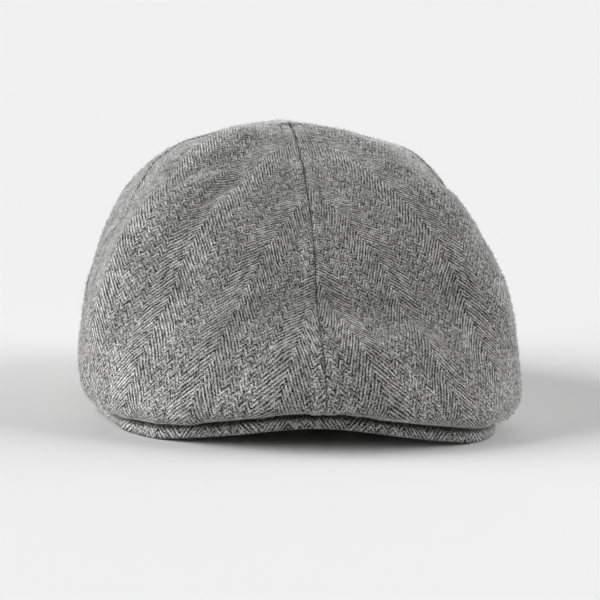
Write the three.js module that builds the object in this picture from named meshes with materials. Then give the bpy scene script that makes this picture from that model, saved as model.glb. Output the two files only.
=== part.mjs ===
// Flat cap of the duckbill kind, in wool cloth: a full crown of three panels, whose seams meet in a T
// on top, pulled forward over a stiff curved peak and sewn down just behind the peak's rim.
// Millimetres, +Z up, the cap's front towards -Y, resting on its rear hem and the peak's two corners.
import * as THREE from 'three';

// Crown
const CROWN_WIDTH = 202;
const CROWN_LENGTH = 256;
const CROWN_HEIGHT = 126.2;
const CLOTH_THICKNESS = 2.2;
const SEAM_GAP = 0.4;
const TOP_HOLE_RADIUS = 0.7;

// Turned-in hem of the crown
const HEM_THICKNESS = 3.2;
const HEM_DEPTH = 16;

// Head opening, an oval set back from the point where the seams meet
const HEAD_WIDTH = 166;
const HEAD_LENGTH = 196;
const HEAD_SETBACK = 7;

// Peak
const PEAK_DEPTH = 55;
const PEAK_THICKNESS = 5;
const PEAK_END_AZIMUTH = 66;
const PEAK_SLOPE = 0.425;
const PEAK_ARCH_RADIUS = 185;
const PEAK_BOW_RADIUS = 200;
const RIM_SHOWN = 3.5;
const PEAK_CLEARANCE = 0.3;

// Azimuths where the hem leaves the peak's ends, over so many degrees, and where it comes to lie flat
const HEM_LEAVING_SPAN = 14;
const HEM_GROUND_AZIMUTH = 146;

// Ribs of the crown by azimuth from the front. Each named level is a point of the outer face:
// out is a share of the crown's plan oval, up a share of its height.
const RIB_LEVELS = ['belly', 'flank', 'haunch', 'shoulder', 'brow'];
const RIBS = tableOf(['azimuth', 'belly_out', 'belly_up', 'flank_out', 'flank_up', 'haunch_out',
  'haunch_up', 'shoulder_out', 'shoulder_up', 'brow_out', 'brow_up'], [
  [0, 1.18, 0.15, 0.93, 0.425, 0.725, 0.665, 0.485, 0.845, 0.185, 0.97],
  [30, 1.21, 0.06, 1.035, 0.395, 0.825, 0.7, 0.57, 0.87, 0.215, 0.985],
  [50, 1.125, 0.06, 1.145, 0.365, 0.925, 0.72, 0.65, 0.895, 0.24, 1.005],
  [65, 0.975, 0.12, 1.02, 0.385, 0.825, 0.685, 0.635, 0.895, 0.245, 0.995],
  [90, 0.87, 0.18, 0.895, 0.435, 0.785, 0.69, 0.61, 0.875, 0.245, 0.97],
  [130, 0.89, 0.225, 0.855, 0.47, 0.735, 0.705, 0.52, 0.86, 0.24, 0.98],
  [180, 0.88, 0.225, 0.84, 0.475, 0.705, 0.705, 0.475, 0.86, 0.235, 0.985],
]);

// Side seam of the crown: its azimuth at each level, which is 0 at the hem and 1 at the top
const SIDE_SEAM = tableOf(['level', 'azimuth'], [
  [0, 71],
  [0.3, 73],
  [0.6, 77],
  [0.85, 83],
  [1, 90],
]);

// Reach of the peak past the head opening, by azimuth, as a share of its depth at the centre
const PEAK_PLAN = tableOf(['azimuth', 'reach'], [
  [0, 0.88],
  [20, 0.995],
  [30, 1],
  [38, 0.88],
  [44, 0.73],
  [50, 0.6],
  [58, 0.44],
  [66, 0.1],
  [72, 0],
]);

// Soft folds of the crown: each runs from one azimuth and level to another on the outer face.
// Width is a share of the crown's width, rise a share of the cloth's thickness, less than 0 for a dent.
// At its ends a fold starts and stops with a share of its length still to go to nothing.
const FOLD_END_SHARE = 0.15;
const FOLDS = tableOf(['from_azimuth', 'from_level', 'to_azimuth', 'to_level', 'width', 'rise'], [
  [-60, 0.56, -36, 0.76, 0.05, -0.8],
  [-36, 0.56, -24, 0.7, 0.045, -0.7],
  [-33, 0.18, -8, 0.37, 0.05, 0.9],
  [-16, 0.28, -3, 0.4, 0.04, -0.8],
  [14, 0.5, 34, 0.28, 0.055, -0.9],
  [44, 0.46, 52, 0.22, 0.055, -0.8],
]);

// Fineness of the meshes, whose rows lie closer together near the hem
const LEVEL_STEPS = 28;
const LEVEL_CROWDING = 1.3;
const FRONT_PANEL_STEPS = 20;
const BACK_PANEL_STEPS = 30;
const PEAK_STEPS = 46;
const PEAK_SECTION_STEPS = 4;
const RIM_ARC_STEPS = 6;

const cloth = new THREE.MeshStandardMaterial({ color: 0x7a7a79, roughness: 0.95, metalness: 0 });

// Tables, curves and angles
function tableOf(columns, rows) {
  return rows.map((row) => Object.fromEntries(columns.map((name, i) => [name, row[i]])));
}

function smoothStep(from, to, at) {
  const share = Math.min(1, Math.max(0, (at - from) / (to - from)));
  return share * share * (3 - 2 * share);
}

// The larger of two values, with the change from one to the other rounded off over a width
function roundedMax(a, b, width) {
  return (a + b + Math.hypot(a - b, width)) / 2;
}

// Value at a place on the smooth curve that passes through each value at its knot
function curveAt(knots, values, at) {
  const last = knots.length - 1;
  const rate = (i) => (values[i + 1] - values[i]) / (knots[i + 1] - knots[i]);
  const slope = (i) => {
    if (i === 0) return rate(0);
    if (i === last) return rate(last - 1);
    const before = knots[i] - knots[i - 1];
    const after = knots[i + 1] - knots[i];
    return (rate(i - 1) * after + rate(i) * before) / (before + after);
  };
  let i = 0;
  while (i < last - 1 && at > knots[i + 1]) i += 1;
  const span = knots[i + 1] - knots[i];
  const s = Math.min(1, Math.max(0, (at - knots[i]) / span));
  const rest = 1 - s;
  return (1 + 2 * s) * rest * rest * values[i] + s * rest * rest * span * slope(i)
    + s * s * (3 - 2 * s) * values[i + 1] - s * s * rest * span * slope(i + 1);
}

// Column of a table at an azimuth; the table is mirrored at the front, and at the back if it goes round
function columnAt(table, column, azimuth) {
  const turned = Math.abs(((azimuth + 540) % 360) - 180);
  const knots = table.map((row) => row.azimuth);
  const values = table.map((row) => row[column]);
  const wrapped = knots[knots.length - 1] === 180;
  const ends = wrapped ? [knots.length - 2, knots.length - 3] : [];
  return curveAt(
    [-knots[2], -knots[1], ...knots, ...ends.map((i) => 360 - knots[i])],
    [values[2], values[1], ...values, ...ends.map((i) => values[i])],
    turned,
  );
}

function pointAt(azimuth, reach, height) {
  const turn = THREE.MathUtils.degToRad(azimuth);
  return new THREE.Vector3(reach * Math.sin(turn), -reach * Math.cos(turn), height);
}

// Plan of the crown and of the head opening, both as a reach from the point where the seams meet
function crownOval(azimuth) {
  const turn = THREE.MathUtils.degToRad(azimuth);
  return 1 / Math.hypot(Math.sin(turn) / (CROWN_WIDTH / 2), Math.cos(turn) / (CROWN_LENGTH / 2));
}

function headReach(azimuth) {
  const turn = THREE.MathUtils.degToRad(azimuth);
  const across = Math.sin(turn) / (HEAD_WIDTH / 2);
  const along = -Math.cos(turn) / (HEAD_LENGTH / 2);
  const shift = HEAD_SETBACK / (HEAD_LENGTH / 2);
  const square = across * across + along * along;
  const half = along * shift;
  return (half + Math.sqrt(half * half + square * (1 - shift * shift))) / square;
}

const peakFront = headReach(0) + PEAK_DEPTH;

// Peak
function peakOverhang(azimuth) {
  const last = PEAK_PLAN[PEAK_PLAN.length - 1].azimuth;
  return Math.abs(azimuth) < last ? PEAK_DEPTH * columnAt(PEAK_PLAN, 'reach', azimuth) : 0;
}

function peakShape(x, y) {
  const behindRim = y + peakFront;
  const rise = PEAK_SLOPE * behindRim - (behindRim * behindRim) / (2 * PEAK_BOW_RADIUS);
  return rise - (x * x) / (2 * PEAK_ARCH_RADIUS);
}

// Section of the peak along one azimuth: under face outwards, round the rim, top face inwards
function peakSection(azimuth) {
  const radius = PEAK_THICKNESS / 2;
  const inner = headReach(azimuth);
  const outer = inner + peakOverhang(azimuth) - radius;
  const raised = (reach, up) => {
    const point = pointAt(azimuth, reach, 0);
    point.z = peakShape(point.x, point.y) + up;
    return point;
  };
  const section = [];
  for (let i = 0; i <= PEAK_SECTION_STEPS; i += 1) {
    section.push(raised(inner + ((outer - inner) * i) / PEAK_SECTION_STEPS, 0));
  }
  for (let i = 1; i < RIM_ARC_STEPS; i += 1) {
    const turn = (Math.PI * i) / RIM_ARC_STEPS;
    section.push(raised(outer + radius * Math.sin(turn), radius * (1 - Math.cos(turn))));
  }
  for (let i = PEAK_SECTION_STEPS; i >= 0; i -= 1) {
    section.push(raised(inner + ((outer - inner) * i) / PEAK_SECTION_STEPS, PEAK_THICKNESS));
  }
  return section;
}

// Sections from one end of the peak to the other; the lowest places are the corners of the rim,
// which stand on the ground
const peakSections = Array.from({ length: PEAK_STEPS + 1 }, (_, i) => (
  peakSection(PEAK_END_AZIMUTH * ((2 * i) / PEAK_STEPS - 1))
));
const peakLowest = Math.min(...peakSections.flat().map((point) => point.z));

function peakUnderside(x, y) {
  return peakShape(x, y) - peakLowest;
}

// Hem of the crown: on top of the peak in front, down to the ground behind
function hemReach(azimuth) {
  return headReach(azimuth) + roundedMax(HEM_THICKNESS, peakOverhang(azimuth) - RIM_SHOWN, HEM_THICKNESS);
}

function seatHeight(x, y) {
  return peakUnderside(x, y) + PEAK_THICKNESS + PEAK_CLEARANCE;
}

const peakEnd = pointAt(PEAK_END_AZIMUTH, headReach(PEAK_END_AZIMUTH), 0);
const peakEndHeight = seatHeight(peakEnd.x, peakEnd.y);

function hemHeight(x, y) {
  const azimuth = THREE.MathUtils.radToDeg(Math.abs(Math.atan2(x, -y)));
  const behind = smoothStep(PEAK_END_AZIMUTH, PEAK_END_AZIMUTH + HEM_LEAVING_SPAN, azimuth);
  const falling = peakEndHeight * (1 - smoothStep(PEAK_END_AZIMUTH, HEM_GROUND_AZIMUTH, azimuth));
  return seatHeight(x, y) * (1 - behind) + falling * behind;
}

// Rib of the crown at an azimuth: reach and height of its levels, from the hem to just past the top
const ribs = new Map();

function ribAt(azimuth) {
  const key = azimuth.toFixed(4);
  if (!ribs.has(key)) {
    const oval = crownOval(azimuth);
    const hem = pointAt(azimuth, hemReach(azimuth), 0);
    const reach = [hemReach(azimuth)];
    const height = [hemHeight(hem.x, hem.y)];
    for (const level of RIB_LEVELS) {
      reach.push(columnAt(RIBS, `${level}_out`, azimuth) * oval);
      height.push(columnAt(RIBS, `${level}_up`, azimuth) * CROWN_HEIGHT);
    }
    reach.push(0, -columnAt(RIBS, 'brow_out', azimuth + 180) * oval);
    height.push(CROWN_HEIGHT, columnAt(RIBS, 'brow_up', azimuth + 180) * CROWN_HEIGHT);
    const knots = [0];
    for (let i = 1; i < reach.length; i += 1) {
      knots.push(knots[i - 1] + Math.hypot(reach[i] - reach[i - 1], height[i] - height[i - 1]));
    }
    const length = knots[knots.length - 2];
    ribs.set(key, { reach, height, knots: knots.map((knot) => knot / length), length });
  }
  return ribs.get(key);
}

function crownReach(azimuth, level) {
  const rib = ribAt(azimuth);
  return curveAt(rib.knots, rib.reach, level);
}

// How far the folds lift the cloth at a place on the crown
function foldRise(azimuth, level) {
  const reach = crownReach(azimuth, level);
  const { length } = ribAt(azimuth);
  let rise = 0;
  for (const fold of FOLDS) {
    const arc = THREE.MathUtils.degToRad(1) * reach;
    const run = [(fold.to_azimuth - fold.from_azimuth) * arc, (fold.to_level - fold.from_level) * length];
    const offset = [(azimuth - fold.from_azimuth) * arc, (level - fold.from_level) * length];
    const span = run[0] * run[0] + run[1] * run[1];
    const along = Math.min(1, Math.max(0, (offset[0] * run[0] + offset[1] * run[1]) / span));
    const away = Math.hypot(offset[0] - along * run[0], offset[1] - along * run[1]);
    const fade = Math.sin(Math.PI * (FOLD_END_SHARE + (1 - 2 * FOLD_END_SHARE) * along));
    rise += fold.rise * CLOTH_THICKNESS * fade * Math.exp(-((away / (fold.width * CROWN_WIDTH)) ** 2));
  }
  return rise;
}

function smoothCrownPoint(azimuth, level) {
  const rib = ribAt(azimuth);
  return pointAt(azimuth, curveAt(rib.knots, rib.reach, level), curveAt(rib.knots, rib.height, level));
}

// Outward direction of the crown, from points a small azimuth and level to each side
const NORMAL_TURN = 0.5;
const NORMAL_CLIMB = 0.004;

function crownNormal(azimuth, level) {
  const low = Math.max(0, level - NORMAL_CLIMB);
  const high = Math.min(1, level + NORMAL_CLIMB);
  const across = smoothCrownPoint(azimuth + NORMAL_TURN, level)
    .sub(smoothCrownPoint(azimuth - NORMAL_TURN, level));
  const upwards = smoothCrownPoint(azimuth, high).sub(smoothCrownPoint(azimuth, low));
  return across.cross(upwards).normalize();
}

// Point of the crown's outer face, or of its inner face at the cloth's thickness below it;
// at the hem the turned-in edge points at the head
function crownPoint(azimuth, level, inside) {
  if (level === 0) {
    const edge = pointAt(azimuth, hemReach(azimuth) - (inside ? HEM_THICKNESS : 0), 0);
    edge.z = hemHeight(edge.x, edge.y);
    return edge;
  }
  const normal = crownNormal(azimuth, level);
  const fromHem = level * ribAt(azimuth).length;
  const thinning = (HEM_THICKNESS - CLOTH_THICKNESS) * smoothStep(HEM_DEPTH / 2, HEM_DEPTH, fromHem);
  const wall = HEM_THICKNESS - thinning;
  const shift = foldRise(azimuth, level) * smoothStep(0, HEM_DEPTH, fromHem) - (inside ? wall : 0);
  return smoothCrownPoint(azimuth, level).addScaledVector(normal, shift);
}

function seamAzimuth(level) {
  return curveAt(SIDE_SEAM.map((row) => row.level), SIDE_SEAM.map((row) => row.azimuth), level);
}

// Levels of the mesh rows, up to the small hole where the seams meet
function rowLevel(share) {
  const top = 1 - TOP_HOLE_RADIUS / ribAt(90).length;
  return top * share ** LEVEL_CROWDING;
}

// Closed body between two faces given over the same grid, with its four edges
function sheetBody(acrossSteps, alongSteps, faceAt) {
  const vertices = [];
  for (const inside of [false, true]) {
    for (let i = 0; i <= acrossSteps; i += 1) {
      for (let j = 0; j <= alongSteps; j += 1) {
        vertices.push(...faceAt(i / acrossSteps, j / alongSteps, inside).toArray());
      }
    }
  }
  const at = (side, i, j) => (side * (acrossSteps + 1) + i) * (alongSteps + 1) + j;
  const triangles = [];
  const quad = (a, b, c, d) => triangles.push(a, b, c, a, c, d);
  for (let i = 0; i < acrossSteps; i += 1) {
    for (let j = 0; j < alongSteps; j += 1) {
      quad(at(0, i, j), at(0, i + 1, j), at(0, i + 1, j + 1), at(0, i, j + 1));
      quad(at(1, i, j), at(1, i, j + 1), at(1, i + 1, j + 1), at(1, i + 1, j));
    }
    quad(at(0, i, 0), at(1, i, 0), at(1, i + 1, 0), at(0, i + 1, 0));
    quad(at(0, i, alongSteps), at(0, i + 1, alongSteps), at(1, i + 1, alongSteps), at(1, i, alongSteps));
  }
  for (let j = 0; j < alongSteps; j += 1) {
    quad(at(0, 0, j), at(0, 0, j + 1), at(1, 0, j + 1), at(1, 0, j));
    quad(at(0, acrossSteps, j), at(1, acrossSteps, j), at(1, acrossSteps, j + 1), at(0, acrossSteps, j + 1));
  }
  return bodyOf(vertices, triangles);
}

function bodyOf(vertices, triangles) {
  const geometry = new THREE.BufferGeometry();
  geometry.setAttribute('position', new THREE.Float32BufferAttribute(vertices, 3));
  geometry.setIndex(triangles);
  geometry.computeVertexNormals();
  return geometry;
}

// Panel of the crown between two seams, each given as the azimuth that it has at a level
function crownPanel(name, steps, firstSeam, secondSeam) {
  const geometry = sheetBody(steps, LEVEL_STEPS, (across, along, inside) => {
    const level = rowLevel(along);
    const start = firstSeam(level);
    const end = secondSeam(level);
    const middle = (start + end) / 2;
    const edge = THREE.MathUtils.radToDeg(Math.asin(SEAM_GAP / 2 / crownReach(middle, level)));
    const azimuth = start + edge + (end - start - 2 * edge) * across;
    return crownPoint(azimuth, level, inside);
  });
  const panel = new THREE.Mesh(geometry, cloth);
  panel.name = name;
  return panel;
}

function peakBody() {
  const vertices = peakSections.flat().flatMap((point) => [point.x, point.y, point.z - peakLowest]);
  const triangles = [];
  const around = peakSections[0].length;
  for (let i = 0; i < PEAK_STEPS; i += 1) {
    for (let j = 0; j < around; j += 1) {
      const next = (j + 1) % around;
      const [a, b] = [i * around + j, (i + 1) * around + j];
      const [c, d] = [(i + 1) * around + next, i * around + next];
      triangles.push(a, b, c, a, c, d);
    }
  }
  for (let j = 1; j < around - 1; j += 1) {
    triangles.push(0, j, j + 1);
    const last = PEAK_STEPS * around;
    triangles.push(last, last + j + 1, last + j);
  }
  const peak = new THREE.Mesh(bodyOf(vertices, triangles), cloth);
  peak.name = 'peak';
  return peak;
}

const cap = new THREE.Group();
cap.add(
  crownPanel('crown_left_panel', FRONT_PANEL_STEPS, () => 0, seamAzimuth),
  crownPanel('crown_right_panel', FRONT_PANEL_STEPS, (level) => -seamAzimuth(level), () => 0),
  crownPanel('crown_back_panel', BACK_PANEL_STEPS, seamAzimuth, (level) => 360 - seamAzimuth(level)),
  peakBody(),
);

// The origin is at the middle of the cap's plan, on the ground
const box = new THREE.Box3().setFromObject(cap);
cap.position.set(-(box.min.x + box.max.x) / 2, -(box.min.y + box.max.y) / 2, -box.min.z);

export default cap;
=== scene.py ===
import math

import bpy
import numpy as np
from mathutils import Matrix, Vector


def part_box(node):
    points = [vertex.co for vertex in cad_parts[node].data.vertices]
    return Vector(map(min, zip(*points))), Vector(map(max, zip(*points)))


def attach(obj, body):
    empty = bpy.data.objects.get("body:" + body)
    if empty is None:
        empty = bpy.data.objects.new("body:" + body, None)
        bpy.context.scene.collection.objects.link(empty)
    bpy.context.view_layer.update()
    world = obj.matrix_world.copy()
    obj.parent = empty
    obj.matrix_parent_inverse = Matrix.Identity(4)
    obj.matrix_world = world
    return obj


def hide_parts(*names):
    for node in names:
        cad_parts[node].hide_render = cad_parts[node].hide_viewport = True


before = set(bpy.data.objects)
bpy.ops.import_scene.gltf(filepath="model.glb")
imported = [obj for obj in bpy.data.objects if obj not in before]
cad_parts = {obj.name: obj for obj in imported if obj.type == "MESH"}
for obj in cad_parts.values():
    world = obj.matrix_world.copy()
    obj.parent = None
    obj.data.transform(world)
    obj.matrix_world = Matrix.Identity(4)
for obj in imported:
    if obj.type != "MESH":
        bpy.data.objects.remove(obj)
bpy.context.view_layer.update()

# Crown. Three panels of grey herringbone wool, cut on the bias, steamed to shape and sewn in a T on top.
# It is pulled forward over the peak and sewn down behind the peak's rim, and its hem is turned in.
CROWN_WIDTH = 0.202
CROWN_LENGTH = 0.256
CROWN_HEIGHT = 0.1262
CLOTH_THICKNESS = 0.0022
HEM_THICKNESS = 0.0032
HEM_DEPTH = 0.016
HEAD_WIDTH = 0.166
HEAD_LENGTH = 0.196
HEAD_SETBACK = 0.007
HEM_STEP_SHARE = 0.85
HEM_LEAVING_SPAN = 14
HEM_GROUND_AZIMUTH = 146
TOP_HOLE_RADIUS = 0.0007
PEAK_DEPTH = 0.055
PEAK_THICKNESS = 0.005
PEAK_END_AZIMUTH = 66
PEAK_SLOPE = 0.425
PEAK_ARCH_RADIUS = 0.185
PEAK_BOW_RADIUS = 0.200
RIM_SHOWN = 0.0035
PEAK_CLEARANCE = 0.0003
RIM_SQUARENESS = 0.6

# Ribs of the crown by azimuth from the front: out is a share of the plan oval, up a share of the height.
RIB_LEVELS = ("belly", "flank", "haunch", "shoulder", "brow")
RIB_COLUMNS = ("azimuth", "belly_out", "belly_up", "flank_out", "flank_up", "haunch_out", "haunch_up",
               "shoulder_out", "shoulder_up", "brow_out", "brow_up")
RIBS = (
    (0, 1.18, 0.15, 0.93, 0.425, 0.725, 0.665, 0.485, 0.845, 0.185, 0.97),
    (30, 1.21, 0.06, 1.035, 0.395, 0.825, 0.7, 0.57, 0.87, 0.215, 0.985),
    (50, 1.125, 0.06, 1.145, 0.365, 0.925, 0.72, 0.65, 0.895, 0.24, 1.005),
    (65, 0.975, 0.12, 1.02, 0.385, 0.825, 0.685, 0.635, 0.895, 0.245, 0.995),
    (90, 0.87, 0.18, 0.895, 0.435, 0.785, 0.69, 0.61, 0.875, 0.245, 0.97),
    (130, 0.89, 0.225, 0.855, 0.47, 0.735, 0.705, 0.52, 0.86, 0.24, 0.98),
    (180, 0.88, 0.225, 0.84, 0.475, 0.705, 0.705, 0.475, 0.86, 0.235, 0.985),
)

# Azimuth of the side seam at each level, 0 at the hem and 1 at the top
SIDE_SEAM = ((0, 71), (0.3, 73), (0.6, 77), (0.85, 83), (1, 90))

# Reach of the peak past the head opening by azimuth, as a share of its depth at the centre
PEAK_PLAN = ((0, 0.88), (20, 0.995), (30, 1), (38, 0.88), (44, 0.73), (50, 0.6), (58, 0.44), (66, 0.1),
             (72, 0))

# Soft folds: from azimuth and level, to azimuth and level, width as a share of the crown's width,
# rise as a share of the cloth's thickness, less than 0 for a dent
FOLDS = (
    (-60, 0.56, -36, 0.76, 0.05, -0.8),
    (-36, 0.56, -24, 0.7, 0.045, -0.7),
    (-33, 0.18, -8, 0.37, 0.05, 0.9),
    (-16, 0.28, -3, 0.4, 0.04, -0.8),
    (14, 0.5, 34, 0.28, 0.055, -0.9),
    (44, 0.46, 52, 0.22, 0.055, -0.8),
)

# Small folds between them, which the solids leave out: the soft roll above the peak and the hollow over it,
# and the slanting pulls beside the seams. Columns as above.
SMALL_FOLDS = (
    (-6, 0.225, 30, 0.235, 0.04, 1.7),
    (-4, 0.36, 20, 0.33, 0.045, -1.9),
    (-50, 0.58, -34, 0.72, 0.03, -0.8),
    (-35, 0.53, -25, 0.69, 0.03, -0.8),
    (-17, 0.2, -5, 0.36, 0.03, 0.8),
    (-27, 0.17, -19, 0.28, 0.03, 0.7),
    (18, 0.36, 26, 0.25, 0.03, -0.8),
)
FOLD_END_SHARE = 0.15

# The seams: a sunk line of stitches with both seam allowances pressed open under the cloth, and the roll
# of the hem, which draws back just above its edge
SEAM_SINK = 0.0006
SEAM_SINK_WIDTH = 0.0005
ALLOWANCE_WIDTH = 0.0052
ALLOWANCE_EDGE = 0.12
ALLOWANCE_RISE = 0.0007
SEAM_GAP = 0.0001
HEM_ROLL = 0.0012
HEM_ROLL_FROM = 0.001
HEM_ROLL_TO = 0.003

# Hand of the cloth: slow waves and finer puckers over the whole crown, as length and height
CLOTH_WAVES = ((0.034, 0.0005), (0.017, 0.00022), (0.008, 0.00008))
WAVES_PER_LENGTH = 9
WAVE_SPREAD = (0.8, 1.3)
WAVE_SEED = 7


def curve_at(knots, values, at):
    """Smooth curve through values at their knots; knots may differ from column to column."""
    gaps = np.diff(knots, axis=0)
    rates = np.diff(values, axis=0) / gaps
    slopes = np.empty(values.shape)
    slopes[0], slopes[-1] = rates[0], rates[-1]
    slopes[1:-1] = (rates[:-1] * gaps[1:] + rates[1:] * gaps[:-1]) / (gaps[1:] + gaps[:-1])
    if knots.ndim == 1:
        span = np.clip(np.searchsorted(knots, at) - 1, 0, len(knots) - 2)
        pick = lambda table: table[span]
    else:
        columns = np.arange(knots.shape[1])
        span = np.clip((knots[:, None, :] < at[None]).sum(0) - 1, 0, len(knots) - 2)
        pick = lambda table: table[span, columns]
    width = pick(gaps)
    s = np.clip((at - pick(knots[:-1])) / width, 0, 1)
    rest = 1 - s
    start = (1 + 2 * s) * rest**2 * pick(values[:-1]) + s * rest**2 * width * pick(slopes[:-1])
    end = s**2 * (3 - 2 * s) * pick(values[1:]) - s**2 * rest * width * pick(slopes[1:])
    return start + end


def column_at(table, column, azimuth):
    """Column of a table at an azimuth, mirrored at the front, and at the back where it goes round."""
    rows = np.array(table, float)
    lead = [(-row[0], row[column]) for row in rows[2:0:-1]]
    body = [(row[0], row[column]) for row in rows]
    tail = [(360 - row[0], row[column]) for row in rows[-2:-4:-1]] if rows[-1, 0] == 180 else []
    knots, values = np.array(lead + body + tail).T
    return curve_at(knots, values, np.abs((azimuth + 540) % 360 - 180))


def smooth_step(low, high, at):
    share = np.clip((at - low) / (high - low), 0, 1)
    return share**2 * (3 - 2 * share)


def crown_oval(azimuth):
    turn = np.radians(azimuth)
    return 1 / np.hypot(np.sin(turn) / (CROWN_WIDTH / 2), np.cos(turn) / (CROWN_LENGTH / 2))


def head_reach(azimuth):
    turn = np.radians(azimuth)
    across, along = np.sin(turn) / (HEAD_WIDTH / 2), -np.cos(turn) / (HEAD_LENGTH / 2)
    shift = HEAD_SETBACK / (HEAD_LENGTH / 2)
    square = across**2 + along**2
    return (along * shift + np.sqrt((along * shift) ** 2 + square * (1 - shift**2))) / square


def peak_overhang(azimuth):
    share = column_at(PEAK_PLAN, 1, azimuth)
    return np.where(np.abs(azimuth) < PEAK_PLAN[-1][0], PEAK_DEPTH * share, 0)


def peak_shape(x, y):
    behind_rim = y + head_reach(0.0) + PEAK_DEPTH
    rise = PEAK_SLOPE * behind_rim - behind_rim**2 / (2 * PEAK_BOW_RADIUS)
    return rise - x**2 / (2 * PEAK_ARCH_RADIUS)


def peak_section(azimuth, steps, arc_steps):
    """Reach and rise above the under face along one azimuth: outwards, round the rim, and back."""
    radius = PEAK_THICKNESS / 2
    inner = head_reach(azimuth)
    outer = inner + peak_overhang(azimuth) - radius
    shares = np.linspace(0, 1, steps + 1)
    turns = np.linspace(0, math.pi, arc_steps + 1)[1:-1]
    reach = [inner + (outer - inner) * share for share in shares]
    reach += [outer + radius * math.sin(turn) ** RIM_SQUARENESS for turn in turns]
    reach += [inner + (outer - inner) * share for share in shares[::-1]]
    bends = [math.copysign(abs(math.cos(turn)) ** RIM_SQUARENESS, math.cos(turn)) for turn in turns]
    rise = [0.0] * (steps + 1) + [radius * (1 - bend) for bend in bends]
    rise += [PEAK_THICKNESS] * (steps + 1)
    return np.array(reach).T, np.array(rise)


def peak_grid(azimuth, steps, arc_steps):
    """Points of the peak as stations by section places, before it is set down on the ground."""
    reach, rise = peak_section(azimuth, steps, arc_steps)
    turn = np.radians(azimuth)[:, None]
    x, y = reach * np.sin(turn), -reach * np.cos(turn)
    return np.stack([x, y, peak_shape(x, y) + rise], -1)


PEAK_STATIONS = np.linspace(-PEAK_END_AZIMUTH, PEAK_END_AZIMUTH, 47)
peak_lowest = peak_grid(PEAK_STATIONS, 4, 4)[..., 2].min()


def seat_height(x, y):
    return peak_shape(x, y) - peak_lowest + PEAK_THICKNESS + PEAK_CLEARANCE


def hem_reach(azimuth):
    over = peak_overhang(azimuth) - RIM_SHOWN
    return head_reach(azimuth) + (HEM_THICKNESS + over + np.hypot(HEM_THICKNESS - over, HEM_THICKNESS)) / 2


def hem_height(x, y):
    azimuth = np.degrees(np.abs(np.arctan2(x, -y)))
    turn, reach = math.radians(PEAK_END_AZIMUTH), float(head_reach(PEAK_END_AZIMUTH))
    end = seat_height(reach * math.sin(turn), -reach * math.cos(turn))
    behind = smooth_step(PEAK_END_AZIMUTH, PEAK_END_AZIMUTH + HEM_LEAVING_SPAN, azimuth)
    falling = end * (1 - smooth_step(PEAK_END_AZIMUTH, HEM_GROUND_AZIMUTH, azimuth))
    return seat_height(x, y) * (1 - behind) + falling * behind


def ribs_at(azimuth):
    """Reach, height and knots of each rib's levels, hem first, and its length."""
    oval, hem = crown_oval(azimuth), hem_reach(azimuth)
    turn = np.radians(azimuth)
    reach = [hem]
    height = [hem_height(hem * np.sin(turn), -hem * np.cos(turn))]
    for level in RIB_LEVELS:
        reach.append(column_at(RIBS, RIB_COLUMNS.index(f"{level}_out"), azimuth) * oval)
        height.append(column_at(RIBS, RIB_COLUMNS.index(f"{level}_up"), azimuth) * CROWN_HEIGHT)
    brow_out, brow_up = RIB_COLUMNS.index("brow_out"), RIB_COLUMNS.index("brow_up")
    reach += [np.zeros_like(oval), -column_at(RIBS, brow_out, azimuth + 180) * oval]
    height += [np.full_like(oval, CROWN_HEIGHT), column_at(RIBS, brow_up, azimuth + 180) * CROWN_HEIGHT]
    reach, height = np.array(reach), np.array(height)
    steps = np.hypot(np.diff(reach, axis=0), np.diff(height, axis=0))
    knots = np.concatenate([np.zeros((1, steps.shape[1])), np.cumsum(steps, axis=0)])
    return reach, height, knots / knots[-2], knots[-2]


def smooth_crown(azimuth, level):
    """Points of the crown's outer face without folds, on grids of azimuth and level of one shape."""
    flat_azimuth, flat_level = azimuth.ravel(), level.ravel()
    reach, height, knots, length = ribs_at(flat_azimuth)
    r = curve_at(knots, reach, flat_level[None])[0].reshape(azimuth.shape)
    z = curve_at(knots, height, flat_level[None])[0].reshape(azimuth.shape)
    turn = np.radians(azimuth)
    points = np.stack([r * np.sin(turn), -r * np.cos(turn), z], -1)
    return points, r, length.reshape(azimuth.shape)


def fold_rise(azimuth, level, reach, length, folds):
    rise = np.zeros_like(reach)
    arc = math.radians(1) * reach
    for from_azimuth, from_level, to_azimuth, to_level, width, lift in folds:
        run = (to_azimuth - from_azimuth) * arc, (to_level - from_level) * length
        offset = (azimuth - from_azimuth) * arc, (level - from_level) * length
        along = (offset[0] * run[0] + offset[1] * run[1]) / (run[0] ** 2 + run[1] ** 2)
        along = np.clip(along, 0, 1)
        away = np.hypot(offset[0] - along * run[0], offset[1] - along * run[1])
        fade = np.sin(math.pi * (FOLD_END_SHARE + (1 - 2 * FOLD_END_SHARE) * along))
        rise += lift * CLOTH_THICKNESS * fade * np.exp(-((away / (width * CROWN_WIDTH)) ** 2))
    return rise


def cloth_waves(points):
    """Height of the cloth's own small unevenness, as plane waves in seeded directions."""
    draw = np.random.default_rng(WAVE_SEED)
    total = np.zeros(points.shape[:-1])
    for length, height in CLOTH_WAVES:
        for _ in range(WAVES_PER_LENGTH):
            way = draw.normal(size=3)
            way *= 2 * math.pi / (length * draw.uniform(*WAVE_SPREAD)) / np.linalg.norm(way)
            wave = np.sin(points @ way + draw.uniform(0, 2 * math.pi))
            total += height * wave / math.sqrt(WAVES_PER_LENGTH)
    return total


def seam_relief(away):
    """Rise of the cloth at a distance from a seam."""
    inner, outer = (1 - ALLOWANCE_EDGE) * ALLOWANCE_WIDTH, (1 + ALLOWANCE_EDGE) * ALLOWANCE_WIDTH
    allowance = ALLOWANCE_RISE * (1 - smooth_step(inner, outer, away))
    return allowance - SEAM_SINK * np.exp(-((away / SEAM_SINK_WIDTH) ** 2))


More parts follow.
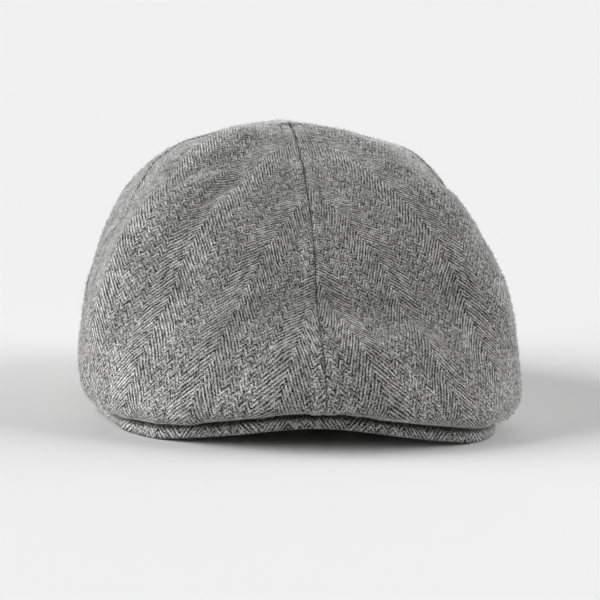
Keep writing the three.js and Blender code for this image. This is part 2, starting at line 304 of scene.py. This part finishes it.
def side_seam(level):
    knots, azimuths = np.array(SIDE_SEAM, float).T
    return curve_at(knots, azimuths, level)


# The part stands with its box centred, so the top's place follows from how far the back rib reaches
RIB_SAMPLES = 400
back_rib = smooth_crown(np.full((1, RIB_SAMPLES), 180.0), np.linspace(0, 1, RIB_SAMPLES)[None])
back_reach = back_rib[1].max()
top_place = np.array([0.0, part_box("crown_back_panel")[1][1] - back_reach, 0.0])


def mesh_piece(name, points, faces):
    mesh = bpy.data.meshes.new(name)
    mesh.from_pydata(points.reshape(-1, 3).tolist(), [], faces)
    mesh.validate()
    mesh.shade_smooth()
    piece = bpy.data.objects.new(name, mesh)
    bpy.context.scene.collection.objects.link(piece)
    return piece


def sheet_faces(across, along):
    """Quads of a closed body between two faces of across by along points, outer face first."""
    number = np.arange(2 * across * along).reshape(2, across, along)
    outer, inner = number[0], number[1]

    def quads(grid):
        return np.stack([grid[:-1, :-1], grid[1:, :-1], grid[1:, 1:], grid[:-1, 1:]], -1).reshape(-1, 4)

    def edge(first, second):
        return np.stack([first[:-1], second[:-1], second[1:], first[1:]], -1)

    return np.concatenate([
        quads(outer), quads(inner)[:, ::-1],
        edge(outer[:, 0], inner[:, 0]), edge(inner[:, -1], outer[:, -1]),
        edge(inner[0], outer[0]), edge(outer[-1], inner[-1]),
    ])


def set_lie(piece, lie):
    """Stores where each point lies on the flat cloth, in metres across and along its stripes."""
    layer = piece.data.uv_layers.new(name="cloth_lie")
    corners = np.empty(len(piece.data.loops), dtype=np.int32)
    piece.data.loops.foreach_get("vertex_index", corners)
    layer.data.foreach_set("uv", lie.reshape(-1, 2)[corners].astype(np.float32).ravel())


# Where the cloth lies on the panels: each was cut flat, so it is laid out round the middle of the panel
LIE_CENTRE = np.array([0.0, -0.027, 0.021])
LIE_RADIUS = 0.118


def panel_lie(points, azimuth, elevation, grain, offset, mirrored):
    """Places on the flat cloth, in metres, with its stripes at grain degrees to the level."""
    turn, tilt = math.radians(azimuth), math.radians(elevation)
    middle = np.array([math.sin(turn) * math.cos(tilt), -math.cos(turn) * math.cos(tilt), math.sin(tilt)])
    level = np.array([math.cos(turn), math.sin(turn), 0.0])
    upward = np.cross(level, middle)
    ray = points - LIE_CENTRE
    ray /= np.linalg.norm(ray, axis=-1, keepdims=True)
    swing = np.arccos(np.clip(ray @ middle, -1, 1))
    spread = LIE_RADIUS * swing / np.maximum(np.sin(swing), 1e-6)
    a, b = ray @ level * spread, ray @ upward * spread
    if mirrored:
        a = -a
    lean = math.radians(grain)
    across = a * math.sin(lean) - b * math.cos(lean) + offset[0]
    along = a * math.cos(lean) + b * math.sin(lean) + offset[1]
    return np.stack([across, along], -1)


def wrapped_lie(points):
    """Places on the flat cloth of the back panel, which is wrapped round the crown from its middle."""
    reach = np.hypot(points[..., 0], points[..., 1])
    round_back = np.arctan2(-points[..., 0], points[..., 1])
    climb = np.arctan2(points[..., 2] - LIE_CENTRE[2], reach)
    return np.stack([round_back * np.sqrt(reach * LIE_RADIUS), climb * LIE_RADIUS], -1)


# Mesh of a panel: rows crowd together at the hem, and columns beside the seams
PANEL_ROWS = 200
ROW_CROWDING = 1.4
EDGE_COLUMNS = 22


def column_shares(count, edge_share):
    """Share of the way across a panel for each column of its mesh."""
    edge = edge_share * np.linspace(0, 1, EDGE_COLUMNS + 1)
    middle = np.linspace(edge_share, 1 - edge_share, count - 2 * EDGE_COLUMNS + 1)
    return np.concatenate([edge, middle[1:-1], (1 - edge)[::-1]])


# Steps of azimuth and level over which the cloth's normal is taken
NORMAL_AZIMUTH_STEP = 0.3
NORMAL_LEVEL_STEP = 0.003

# Share of a rib's length that turns under, where the cloth's lie runs straight on
TURNED_UNDER_SHARE = 0.1

# Loose hairs that stand off the milled cloth and roughen its outline, light and dark. Single wool fibres
# of 0.03 mm wouldn't show, so each is drawn as a tapering wisp of 0.2 mm.
FUZZ_FIBRES = 15000
FUZZ_LENGTH = (0.0009, 0.0022)
FUZZ_WIDTH = 0.0002
FUZZ_LIFT = (0.1, 1.1)
FUZZ_HEM_MARGIN = 0.006


def loose_fibres(face, normal, from_hem, seed):
    """Three points of each loose hair, spread evenly over a face, and the column and row that it grows at."""
    draw = np.random.default_rng(seed)
    cell = np.linalg.norm(np.cross(np.diff(face, axis=0)[:, :-1], np.diff(face, axis=1)[:-1]), axis=-1)
    cell *= from_hem[:-1, :-1] > FUZZ_HEM_MARGIN
    chosen = draw.choice(cell.size, FUZZ_FIBRES, p=cell.ravel() / cell.sum())
    column, row = np.unravel_index(chosen, cell.shape)
    share = draw.random((2, FUZZ_FIBRES, 1))
    root = face[column, row] + share[0] * (face[column + 1, row] - face[column, row])
    root = root + share[1] * (face[column, row + 1] - face[column, row])
    up = normal[column, row]
    flat = np.cross(up, draw.normal(size=(FUZZ_FIBRES, 3)))
    flat /= np.linalg.norm(flat, axis=-1, keepdims=True)
    way = flat + up * draw.uniform(*FUZZ_LIFT, (FUZZ_FIBRES, 1))
    way /= np.linalg.norm(way, axis=-1, keepdims=True)
    side = np.cross(up, way)
    side *= FUZZ_WIDTH / 2 / np.linalg.norm(side, axis=-1, keepdims=True)
    tip = root + way * draw.uniform(*FUZZ_LENGTH, (FUZZ_FIBRES, 1))
    return np.stack([root - side, root + side, tip], 1), column, row


def crown_panel(name, columns, edge_share, first_seam, second_seam, lie, fibre_seed):
    """A panel's cloth between two seams, given by their azimuth at each level, with its hairs and its lie."""
    top = 1 - TOP_HOLE_RADIUS / ribs_at(np.array([90.0]))[3][0]
    level = top * np.linspace(0, 1, PANEL_ROWS + 1) ** ROW_CROWDING
    start, end = first_seam(level), second_seam(level)
    share = column_shares(columns, edge_share)[:, None]
    _, middle_reach, _ = smooth_crown((start + end)[None] / 2, level[None])
    edge = np.degrees(np.arcsin(SEAM_GAP / 2 / middle_reach))
    azimuth = start + edge + (end - start - 2 * edge) * share
    level = np.broadcast_to(level, azimuth.shape)
    points, reach, length = smooth_crown(azimuth, level)
    turned, _, _ = smooth_crown(azimuth + NORMAL_AZIMUTH_STEP, level)
    back, _, _ = smooth_crown(azimuth - NORMAL_AZIMUTH_STEP, level)
    raised, _, _ = smooth_crown(azimuth, np.minimum(level + NORMAL_LEVEL_STEP, 1))
    sunk, _, _ = smooth_crown(azimuth, np.maximum(level - NORMAL_LEVEL_STEP, 0))
    normal = np.cross(turned - back, raised - sunk)
    normal /= np.linalg.norm(normal, axis=-1, keepdims=True)
    to_first = np.radians(azimuth - start) * reach
    to_second = np.radians(end - azimuth) * reach
    from_hem = level * length
    rise = fold_rise(azimuth, level, reach, length, FOLDS + SMALL_FOLDS)
    rise = rise * smooth_step(0, HEM_DEPTH, from_hem)
    rise = rise + cloth_waves(points) * smooth_step(0, HEM_DEPTH / 2, from_hem)
    outer = rise + seam_relief(to_first) + seam_relief(to_second)
    outer = outer - HEM_ROLL * (1 - smooth_step(HEM_ROLL_FROM, HEM_ROLL_TO, from_hem))
    wall = HEM_THICKNESS - (HEM_THICKNESS - CLOTH_THICKNESS) * smooth_step(
        HEM_STEP_SHARE * HEM_DEPTH, HEM_DEPTH, from_hem)
    turn = np.radians(azimuth)
    to_head = np.stack([-np.sin(turn), np.cos(turn), 0 * turn], -1)
    above_edge = smooth_step(0, HEM_THICKNESS, from_hem)[..., None]
    inward = to_head * (1 - above_edge) - normal * above_edge
    inward /= np.linalg.norm(inward, axis=-1, keepdims=True)
    places = np.stack([points + normal * outer[..., None],
                       points + normal * rise[..., None] + inward * wall[..., None]])
    places[:, :, 0, 2] = hem_height(places[:, :, 0, 0], places[:, :, 0, 1])
    fibres, fibre_column, fibre_row = loose_fibres(places[0], normal, from_hem, fibre_seed)
    sheet = sheet_faces(*azimuth.shape).tolist()
    fibre_faces = (np.arange(fibres.size // 3).reshape(-1, 3) + places.size // 3).tolist()
    body = np.concatenate([places.reshape(-1, 3), fibres.reshape(-1, 3)]) + top_place
    body[:, 2] = np.maximum(body[:, 2], 0.0)
    piece = mesh_piece(name, body, sheet + fibre_faces)
    slots = np.zeros(len(piece.data.polygons), dtype=np.int32)
    slots[len(sheet):] = 1
    piece.data.polygons.foreach_set("material_index", slots)
    spots = lie(points)
    turned_row = int(np.searchsorted(level[0], TURNED_UNDER_SHARE))
    run = spots[:, turned_row + 2] - spots[:, turned_row]
    run /= (from_hem[:, turned_row + 2] - from_hem[:, turned_row])[:, None]
    below = from_hem[:, :turned_row] - from_hem[:, turned_row, None]
    spots[:, :turned_row] = spots[:, turned_row, None] + run[:, None] * below[..., None]
    fibre_spots = np.repeat(spots[fibre_column, fibre_row], 3, axis=0)
    set_lie(piece, np.concatenate([spots.reshape(-1, 2), spots.reshape(-1, 2), fibre_spots]))
    return piece


def linear(hex_colour):
    """Linear colour of an sRGB hex value."""
    parts = [int(hex_colour[i:i + 2], 16) / 255 for i in (1, 3, 5)]
    return tuple(p / 12.92 if p <= 0.04045 else ((p + 0.055) / 1.055) ** 2.4 for p in parts) + (1.0,)


def node(tree, kind, inputs=None, **settings):
    """Adds a node with its settings, and with links or values for its inputs.

    A node given as an input stands for its first output.
    """
    made = tree.nodes.new(kind)
    for name, value in settings.items():
        setattr(made, name, value)
    for socket, value in (inputs or {}).items():
        if isinstance(value, bpy.types.Node):
            value = value.outputs[0]
        if isinstance(value, bpy.types.NodeSocket):
            tree.links.new(value, made.inputs[socket])
        else:
            made.inputs[socket].default_value = value
    return made


# Fancy herringbone twill in grey wool, woven from a light and a dark melange yarn and lightly milled.
# Two wide stripes of opposite slant are followed by six narrow ones, which gives the eye the broad
# leaning bands with a fine zigzag between them; the milled surface has a soft pale bloom at the edges.
# Lengths are in metres; the lean of the lines and the two yarns' mixed tone wander a little, and cloudy
# patches 22 mm across come from the milling. The mix of light and dark fibres is drawn 0.6 mm coarse.
WIDE_STRIPE = 0.011
NARROW_STRIPE = 0.0025
NARROW_STRIPES = 6
TWILL_PITCH = 0.0025
TWILL_SLOPE = 1.3
STEEP_LINES, FLAT_LINES, NARROW_LINES = 1.0, 0.9, 0.7
FLOAT_LENGTH = 0.0026
WANDER_SPAN = 1 / 90
WANDER = 0.0016
FIBRE_SPAN = 1 / 1700
CLOUD_SPAN = 1 / 45
LINE_TONE, GROUND_TONE = 0.24, 0.28
YARN_SPREAD = 1.4
FIBRE_SPREAD = 2.0
CLOUD_SPREAD = 1.1
LINE_RELIEF = 0.00006
# Reach and samples of the ambient occlusion that paints shade into the cloth's colour in seams, creases and
# under the roll
PAINTED_SHADE_REACH = 0.0032
PAINTED_SHADE_SAMPLES = 8
YARN_LIGHT = "#eeeeeb"
YARN_DARK = "#080809"
SHEEN = "#e8e8e6"
stripes = [WIDE_STRIPE, WIDE_STRIPE] + [NARROW_STRIPE] * NARROW_STRIPES
repeat = sum(stripes)


def herringbone_wool(name, light, dark):
    material = bpy.data.materials.new(name)
    material.use_nodes = True
    tree = material.node_tree
    tree.nodes.clear()
    lie = node(tree, "ShaderNodeUVMap", uv_map="cloth_lie")
    drift = node(tree, "ShaderNodeTexNoise", {"Vector": lie, "Scale": 1 / WANDER_SPAN, "Detail": 1.0})
    centred = node(tree, "ShaderNodeVectorMath", {0: drift.outputs["Color"], 1: (0.5, 0.5, 0.5)},
                   operation="SUBTRACT")
    shift = node(tree, "ShaderNodeVectorMath", {0: centred, "Scale": WANDER}, operation="SCALE")
    place = node(tree, "ShaderNodeVectorMath", {0: lie, 1: shift}, operation="ADD")
    parts = node(tree, "ShaderNodeSeparateXYZ", {0: place})
    across, along = parts.outputs[0], parts.outputs[1]

    # Height of the zigzag across one repeat in the ramp's colour, clearness of the lines in its alpha
    repeats = node(tree, "ShaderNodeMath", {0: across, 1: 1 / repeat}, operation="MULTIPLY")
    in_repeat = node(tree, "ShaderNodeMath", {0: repeats}, operation="FRACT")
    zigzag = node(tree, "ShaderNodeValToRGB", {0: in_repeat})
    ramp = zigzag.color_ramp
    ramp.interpolation = "LINEAR"
    edge, height, way = 0.0, 0.0, 1
    stops = [(0.0, 0.0, STEEP_LINES)]
    for width in stripes:
        edge += width
        height += way * width
        way = -way
        clear = NARROW_LINES if width == NARROW_STRIPE else FLAT_LINES if way > 0 else STEEP_LINES
        stops.append((edge / repeat, height / WIDE_STRIPE, clear))
    while len(ramp.elements) < len(stops):
        ramp.elements.new(0.5)
    for element, (position, value, clear) in zip(ramp.elements, stops):
        element.position = position
        element.color = (value, value, value, clear)

    # Twill lines, and the single floats of yarn along them
    slant = node(tree, "ShaderNodeMath", {0: zigzag, 1: WIDE_STRIPE * TWILL_SLOPE}, operation="MULTIPLY")
    climb = node(tree, "ShaderNodeMath", {0: along, 1: slant}, operation="ADD")
    phase = node(tree, "ShaderNodeMath", {0: climb, 1: 1 / TWILL_PITCH}, operation="MULTIPLY")
    angle = node(tree, "ShaderNodeMath", {0: phase, 1: 2 * math.pi}, operation="MULTIPLY")
    line = node(tree, "ShaderNodeMath", {0: angle}, operation="SINE")
    run = node(tree, "ShaderNodeMath", {0: across, 1: 1 / FLOAT_LENGTH}, operation="MULTIPLY")
    floats = node(tree, "ShaderNodeCombineXYZ", {0: phase, 1: run})
    yarn = node(tree, "ShaderNodeTexNoise", {"Vector": floats, "Scale": 1.0, "Detail": 2.0, "Roughness": 0.6})
    fibre = node(tree, "ShaderNodeTexNoise", {"Vector": lie, "Scale": 1 / FIBRE_SPAN, "Detail": 1.0})

    # Share of light yarn, then the clouds of the milling, and painted shade: ambient occlusion darkens the
    # colour in seams, creases and under the roll
    shown = node(tree, "ShaderNodeMath", {0: line, 1: zigzag.outputs[1]}, operation="MULTIPLY")
    tone = node(tree, "ShaderNodeMath", {0: shown, 1: LINE_TONE, 2: GROUND_TONE}, operation="MULTIPLY_ADD")
    for texture, spread in ((yarn, YARN_SPREAD), (fibre, FIBRE_SPREAD)):
        part = node(tree, "ShaderNodeMath", {0: texture, 1: spread, 2: -spread / 2}, operation="MULTIPLY_ADD")
        tone = node(tree, "ShaderNodeMath", {0: tone, 1: part}, operation="ADD")
    colour = node(tree, "ShaderNodeMix", {"Factor": tone, "A": linear(dark), "B": linear(light)},
                  data_type="RGBA", clamp_factor=True)
    cloud = node(tree, "ShaderNodeTexNoise", {"Vector": lie, "Scale": 1 / CLOUD_SPAN, "Detail": 3.0})
    cloudy = node(tree, "ShaderNodeMath", {0: cloud, 1: CLOUD_SPREAD, 2: 1 - CLOUD_SPREAD / 2},
                  operation="MULTIPLY_ADD")
    painted_crease_shade = node(tree, "ShaderNodeAmbientOcclusion", {"Distance": PAINTED_SHADE_REACH}, samples=PAINTED_SHADE_SAMPLES)
    cloud_tone_and_painted_shade = node(tree, "ShaderNodeMath", {0: cloudy, 1: painted_crease_shade.outputs["AO"]}, operation="MULTIPLY")
    mottled_colour_and_painted_shade = node(tree, "ShaderNodeMix", {"Factor": 1.0, "A": colour.outputs["Result"], "B": cloud_tone_and_painted_shade},
                   data_type="RGBA", blend_type="MULTIPLY")
    relief = node(tree, "ShaderNodeBump", {"Height": line, "Strength": 0.6, "Distance": LINE_RELIEF})
    shader = node(tree, "ShaderNodeBsdfPrincipled", {
        "Base Color": mottled_colour_and_painted_shade.outputs["Result"], "Roughness": 0.95, "IOR": 1.5, "Specular IOR Level": 0.2,
        "Sheen Weight": 1.0, "Sheen Roughness": 0.3, "Sheen Tint": linear(SHEEN), "Normal": relief})
    node(tree, "ShaderNodeOutputMaterial", {0: shader})
    return material


crown_cloth = herringbone_wool("milled_herringbone_wool", YARN_LIGHT, YARN_DARK)

# Loose hairs of the same wool, matt, some light and some dark: they keep the tone lively where the cloth
# turns away from the eye. Their tone changes over about 1 mm.
HAIR_TONE_SPAN = 1 / 900
HAIR_LIGHT = "#d2d2cf"
HAIR_DARK = "#3a3a39"
HAIR_TONE_STEP = (0.42, 0.58)

loose_wool = bpy.data.materials.new("loose_wool_hairs")
loose_wool.use_nodes = True
hair = loose_wool.node_tree
hair.nodes.clear()
hair_place = node(hair, "ShaderNodeTexCoord").outputs["Object"]
hair_noise = node(hair, "ShaderNodeTexNoise", {
    "Vector": hair_place, "Scale": 1 / HAIR_TONE_SPAN, "Detail": 0.0})
hair_tone = node(hair, "ShaderNodeValToRGB", {0: hair_noise})
for element, position, colour in zip(hair_tone.color_ramp.elements, HAIR_TONE_STEP, (HAIR_DARK, HAIR_LIGHT)):
    element.position = position
    element.color = linear(colour)
hair_shader = node(hair, "ShaderNodeBsdfPrincipled", {
    "Base Color": hair_tone, "Roughness": 1.0, "Specular IOR Level": 0.1})
node(hair, "ShaderNodeOutputMaterial", {0: hair_shader})

# The two front panels are cut as a pair, mirrored at the centre seam; the back is one wide panel.
GRAIN_ANGLE = 100
FRONT_LIE_AZIMUTH = 28
FRONT_LIE_ELEVATION = 40
LEFT_LIE_OFFSET = (-0.0002, 0.0)
RIGHT_LIE_OFFSET = (-0.0060, 0.0)
FRONT_COLUMNS, FRONT_EDGE_SHARE = 170, 0.09
BACK_COLUMNS, BACK_EDGE_SHARE = 190, 0.045
LEFT_SEED, RIGHT_SEED, BACK_SEED = 186, 187, 206

left_panel = crown_panel(
    "left_panel_cloth", FRONT_COLUMNS, FRONT_EDGE_SHARE, lambda level: 0 * level, side_seam,
    lambda points: panel_lie(points, FRONT_LIE_AZIMUTH, FRONT_LIE_ELEVATION, GRAIN_ANGLE,
                             LEFT_LIE_OFFSET, True), LEFT_SEED)
right_panel = crown_panel(
    "right_panel_cloth", FRONT_COLUMNS, FRONT_EDGE_SHARE, lambda level: -side_seam(level),
    lambda level: 0 * level,
    lambda points: panel_lie(points, -FRONT_LIE_AZIMUTH, FRONT_LIE_ELEVATION, GRAIN_ANGLE,
                             RIGHT_LIE_OFFSET, False), RIGHT_SEED)
back_panel = crown_panel(
    "back_panel_cloth", BACK_COLUMNS, BACK_EDGE_SHARE, side_seam, lambda level: 360 - side_seam(level),
    wrapped_lie, BACK_SEED)
for panel, cad_node in ((left_panel, "crown_left_panel"), (right_panel, "crown_right_panel"),
                        (back_panel, "crown_back_panel")):
    panel.data.materials.append(crown_cloth)
    panel.data.materials.append(loose_wool)
    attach(panel, "root")
    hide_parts(cad_node)

# Peak. A stiff board bent to an arch and covered on both faces with the same wool, drawn tight round
# the rim; only the rim shows in front of the crown, and its stripes run from back to front.
PEAK_COLUMNS = 260
PEAK_STEPS = 40
RIM_ARC_STEPS = 14

peak_azimuths = np.linspace(-PEAK_END_AZIMUTH, PEAK_END_AZIMUTH, PEAK_COLUMNS + 1)
peak_points = peak_grid(peak_azimuths, PEAK_STEPS, RIM_ARC_STEPS)
peak_points[..., 2] -= peak_lowest
around = peak_points.shape[1]
number = np.arange(peak_points.shape[0] * around).reshape(-1, around)
following = np.roll(number, -1, axis=1)
peak_faces = np.stack([number[:-1], number[1:], following[1:], following[:-1]], -1).reshape(-1, 4)
peak_ends = [number[0].tolist(), number[-1, ::-1].tolist()]
peak_cloth = mesh_piece("peak_cloth", peak_points + top_place, peak_faces.tolist() + peak_ends)
section_run = np.concatenate([np.zeros((len(peak_points), 1)), np.cumsum(
    np.linalg.norm(np.diff(peak_points, axis=1), axis=-1), axis=1)], axis=1)
rim_line = peak_points[:, PEAK_STEPS + RIM_ARC_STEPS // 2]
rim_run = np.concatenate([[0.0], np.cumsum(np.linalg.norm(np.diff(rim_line, axis=0), axis=-1))])
rim_run -= rim_run[PEAK_COLUMNS // 2]
set_lie(peak_cloth, np.stack([np.broadcast_to(rim_run[:, None], section_run.shape), section_run], -1))
peak_cloth.data.materials.append(herringbone_wool("drawn_herringbone_wool", YARN_LIGHT, YARN_DARK))
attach(peak_cloth, "root")
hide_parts("peak")

# Studio: a pale floor in a bright white room, and three wide soft lights, none of them from the front.
FLOOR_SIZE = 40.0
FLOOR_COLOUR = "#e6e6e6"
ROOM_BRIGHTNESS = 0.09

floor_mesh = bpy.data.meshes.new("floor")
half = FLOOR_SIZE / 2
floor_mesh.from_pydata([(-half, -half, 0), (half, -half, 0), (half, half, 0), (-half, half, 0)], [],
                       [(0, 1, 2, 3)])
floor = bpy.data.objects.new("floor", floor_mesh)
bpy.context.scene.collection.objects.link(floor)
paint = bpy.data.materials.new("pale_matt_floor")
paint.use_nodes = True
paint_inputs = paint.node_tree.nodes["Principled BSDF"].inputs
paint_inputs["Base Color"].default_value = linear(FLOOR_COLOUR)
paint_inputs["Roughness"].default_value = 1.0
paint_inputs["Specular IOR Level"].default_value = 0.0
floor_mesh.materials.append(paint)

world = bpy.data.worlds.new("bright_room")
world.use_nodes = True
world.node_tree.nodes["Background"].inputs[0].default_value = (1, 1, 1, 1)
world.node_tree.nodes["Background"].inputs[1].default_value = ROOM_BRIGHTNESS
bpy.context.scene.world = world
bpy.context.scene.view_settings.view_transform = "Standard"

# Soft lights, far away and wide: azimuth and elevation from the cap, spread in degrees, and strength
SOFT_LIGHTS = (
    ("left_light", -90, 16, 60, 5.6),
    ("right_light", 98, 16, 60, 3.5),
    ("back_light", 160, 35, 60, 0.9),
)
for name, azimuth, elevation, spread, strength in SOFT_LIGHTS:
    lamp = bpy.data.lights.new(name, "SUN")
    lamp.energy = strength
    lamp.angle = math.radians(spread)
    stand = bpy.data.objects.new(name, lamp)
    stand.rotation_euler = (math.radians(90 - elevation), 0, math.radians(azimuth))
    bpy.context.scene.collection.objects.link(stand)

# Camera: nearly level with the cap, a little to its right-hand side, with a long lens
CAMERA_AZIMUTH = -8.3
CAMERA_ELEVATION = 8.75
CAMERA_ROLL = 2.4
CAMERA_DISTANCE = 1.7
PIXELS_PER_METRE = 2170
IMAGE_WIDTH = 600
SENSOR_WIDTH = 36.0
AIM = np.array([0.0, -0.040, 0.0545]) + top_place
AIM_SHIFT = (0.0025, -0.0046)

turn, tilt, roll = (math.radians(a) for a in (CAMERA_AZIMUTH, CAMERA_ELEVATION, CAMERA_ROLL))
backward = np.array([math.sin(turn) * math.cos(tilt), -math.cos(turn) * math.cos(tilt), math.sin(tilt)])
rightward = np.array([math.cos(turn), math.sin(turn), 0.0])
upward = np.cross(backward, rightward)
right_rolled = rightward * math.cos(roll) + upward * math.sin(roll)
up_rolled = upward * math.cos(roll) - rightward * math.sin(roll)
centre = AIM + right_rolled * AIM_SHIFT[0] + up_rolled * AIM_SHIFT[1]
lens = bpy.data.cameras.new("camera")
lens.sensor_width = SENSOR_WIDTH
lens.lens = SENSOR_WIDTH * PIXELS_PER_METRE * CAMERA_DISTANCE / IMAGE_WIDTH
camera = bpy.data.objects.new("camera", lens)
place = centre + backward * CAMERA_DISTANCE
camera.matrix_world = [(*column, 0.0) for column in (right_rolled, up_rolled, backward)] + [(*place, 1.0)]
bpy.context.scene.collection.objects.link(camera)
bpy.context.scene.camera = camera
